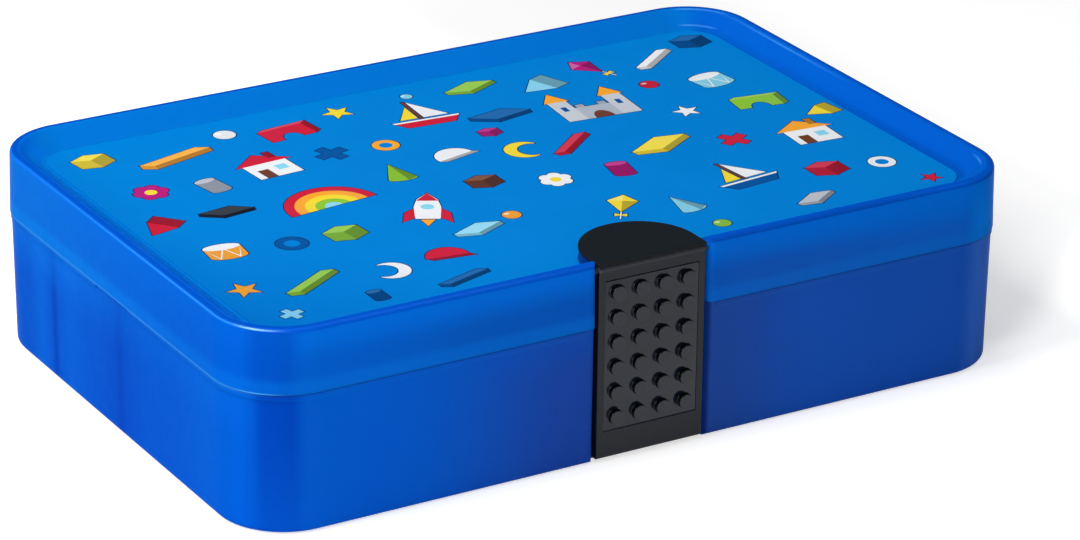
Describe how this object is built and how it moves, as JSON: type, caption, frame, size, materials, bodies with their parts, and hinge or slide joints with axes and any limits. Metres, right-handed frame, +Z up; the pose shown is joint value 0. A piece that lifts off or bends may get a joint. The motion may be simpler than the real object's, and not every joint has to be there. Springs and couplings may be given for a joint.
{
  "type": "building block storage box",
  "caption": "Flat rounded plastic storage box for building blocks, with a hinged lid round a sunken printed panel, inner dividers and a black studded latch in front.",
  "frame": {"origin": "middle of the box's footprint, on the surface it stands on", "axes": "+X along the length, -Y to the latch in front, +Z up"},
  "size_m": [0.266, 0.1851, 0.0641],
  "materials": {
    "tray_plastic": "smooth, slightly translucent blue",
    "lid_plastic": "smooth, slightly translucent blue",
    "divider_plastic": "smooth blue",
    "printed_sheet": "satin printed film",
    "latch_plastic": "fine matt black",
    "stud_plastic": "satin dark grey",
    "pin_steel": "plain drawn wire"
  },
  "bodies": {
    "tray": {"tray_base": "tray_plastic", "long_divider_rear": "divider_plastic", "long_divider_front": "divider_plastic", "cross_divider_rear_left": "divider_plastic", "cross_divider_rear_right": "divider_plastic", "cross_divider_middle_left": "divider_plastic", "cross_divider_middle_right": "divider_plastic", "hinge_pin_left": "pin_steel", "hinge_pin_right": "pin_steel"},
    "lid": {"lid_shell": "lid_plastic", "printed_sheet": "printed_sheet", "latch_tab": "latch_plastic", "latch_pin": "latch_plastic"},
    "latch": {"latch_plate": "latch_plastic", "stud_panel": "stud_plastic"}
  },
  "joints": [
    {"name": "lid_hinge", "type": "hinge", "parent": "tray", "child": "lid", "pos_m": [0, 0.09235, 0.0426], "axis": [-1, 0, 0], "range_deg": [0, 110]},
    {"name": "latch_hinge", "type": "hinge", "parent": "lid", "child": "latch", "pos_m": [0, -0.0874, 0.06085], "axis": [-1, 0, 0], "range_deg": [0, 90]}
  ]
}
